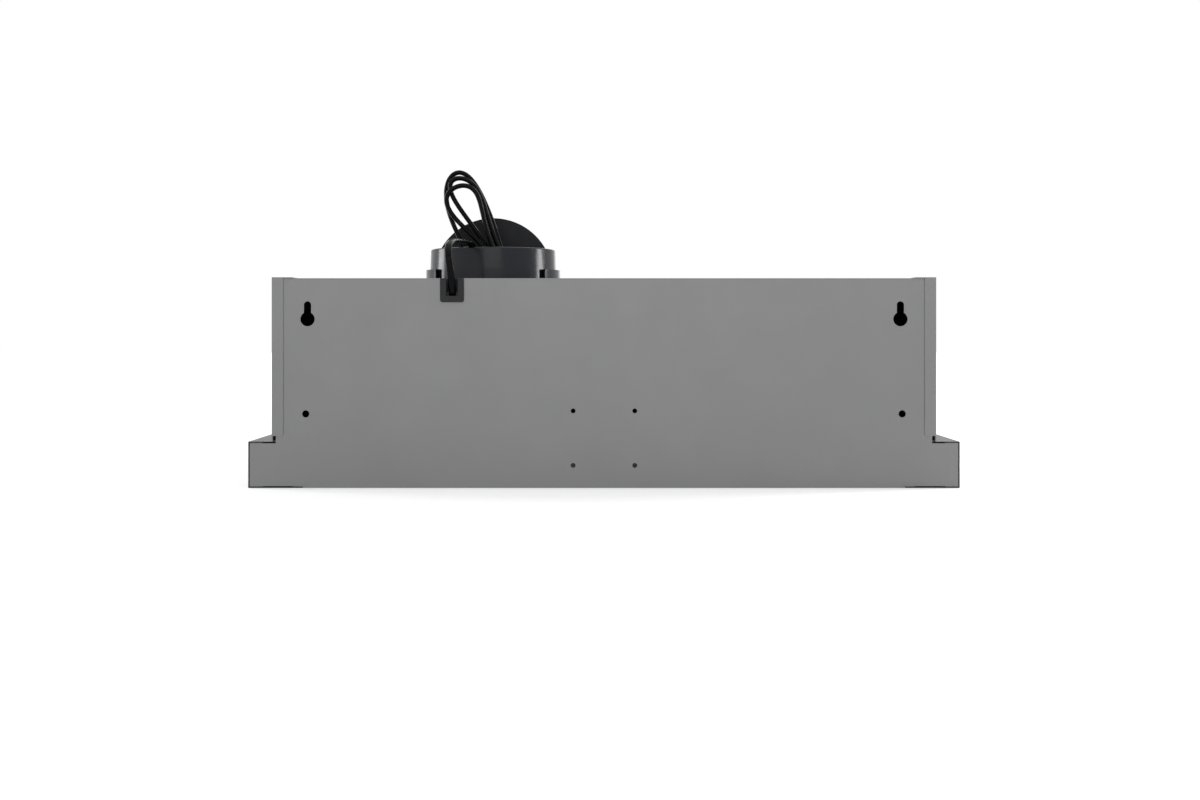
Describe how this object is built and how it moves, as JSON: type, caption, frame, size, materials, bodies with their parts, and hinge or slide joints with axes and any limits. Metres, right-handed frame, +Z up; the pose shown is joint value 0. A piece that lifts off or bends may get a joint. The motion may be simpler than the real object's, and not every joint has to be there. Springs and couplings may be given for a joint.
{
  "type": "range hood",
  "caption": "Telescopic range hood for a wall cabinet: sheet-metal box on a wider base with a pull-out visor, round outlet with damper, and its mains lead stowed in the outlet.",
  "frame": {"origin": "middle of the underside of the closed hood, without its mains lead", "axes": "+X to the right of a person in front of it, +Y towards the wall, +Z up"},
  "size_m": [0.6, 0.3025, 0.2786],
  "materials": {
    "housing_steel": "satin",
    "bare_steel": "satin",
    "zinc_steel": "satin",
    "filter_aluminium": "satin",
    "collar_plastic": "gloss",
    "flap_plastic": "matte",
    "black_plastic": "matte",
    "clamp_plastic": "matte",
    "motor_steel": "satin",
    "cord_rubber": "semi-gloss",
    "bush_rubber": "matte",
    "pin_brass": "satin",
    "lens_plastic": "frosted",
    "white_plastic": "matte"
  },
  "bodies": {
    "hood": {"back_panel": "housing_steel", "top_panel": "housing_steel", "front_panel": "housing_steel", "left_side_panel": "housing_steel", "right_side_panel": "housing_steel", "left_wing": "housing_steel", "right_wing": "housing_steel", "base_tray": "housing_steel", "left_rail": "zinc_steel", "right_rail": "zinc_steel", "scroll_base": "black_plastic", "scroll_cover": "black_plastic", "motor": "motor_steel", "motor_bushes": "bush_rubber", "motor_screws": "zinc_steel", "capacitor": "white_plastic", "capacitor_clip": "zinc_steel", "terminal_box": "black_plastic", "terminal_block": "white_plastic", "terminal_box_cover": "black_plastic", "outlet_collar": "collar_plastic", "damper_rod": "zinc_steel", "cord_clamp": "clamp_plastic", "cord_lead": "cord_rubber", "cord_hank": "cord_rubber", "plug": "cord_rubber", "plug_pins": "pin_brass", "lamp_bezels": "bare_steel", "lamp_lenses": "lens_plastic", "led_modules": "white_plastic", "led_driver": "white_plastic", "switch_housings": "black_plastic", "internal_cables": "cord_rubber", "housing_screws": "zinc_steel", "blower_screws": "zinc_steel", "collar_screws": "zinc_steel"},
    "fan": {"impeller": "black_plastic", "motor_shaft": "zinc_steel", "impeller_nut": "zinc_steel"},
    "visor": {"front_bar": "bare_steel", "bar_end_caps": "black_plastic", "visor_frame": "housing_steel", "visor_filter": "filter_aluminium", "left_runner": "zinc_steel", "right_runner": "zinc_steel", "visor_screws": "zinc_steel"},
    "rear_damper": {"rear_flap": "flap_plastic"},
    "front_damper": {"front_flap": "flap_plastic"},
    "left_filter": {"left_filter_frame": "filter_aluminium", "left_filter_mesh": "filter_aluminium", "left_filter_pull": "filter_aluminium"},
    "right_filter": {"right_filter_frame": "filter_aluminium", "right_filter_mesh": "filter_aluminium", "right_filter_pull": "filter_aluminium"},
    "speed_switch": {"speed_slider": "black_plastic"},
    "light_switch": {"light_slider": "black_plastic"}
  },
  "joints": [
    {"name": "visor_slide", "type": "slide", "parent": "hood", "child": "visor", "axis": [0, -1, 0], "range_m": [0, 0.18]},
    {"name": "impeller_spin", "type": "hinge", "parent": "hood", "child": "fan", "pos_m": [-0.062, 0.008, 0.12], "axis": [0, 0, 1], "continuous": true},
    {"name": "rear_flap_hinge", "type": "hinge", "parent": "hood", "child": "rear_damper", "pos_m": [0.1035, 0.01, 0.1816], "axis": [1, 0, 0], "range_deg": [-27, 0]},
    {"name": "front_flap_hinge", "type": "hinge", "parent": "hood", "child": "front_damper", "pos_m": [0.1035, 0.01, 0.1816], "axis": [-1, 0, 0], "range_deg": [0, 88]},
    {"name": "left_filter_hinge", "type": "hinge", "parent": "hood", "child": "left_filter", "pos_m": [0, 0.138, 0.0012], "axis": [1, 0, 0], "range_deg": [0, 60]},
    {"name": "right_filter_hinge", "type": "hinge", "parent": "hood", "child": "right_filter", "pos_m": [0, 0.138, 0.0012], "axis": [1, 0, 0], "range_deg": [0, 60]},
    {"name": "speed_switch_slide", "type": "slide", "parent": "hood", "child": "speed_switch", "axis": [1, 0, 0], "range_m": [0, 0.018]},
    {"name": "light_switch_slide", "type": "slide", "parent": "hood", "child": "light_switch", "axis": [1, 0, 0], "range_m": [0, 0.008]}
  ]
}
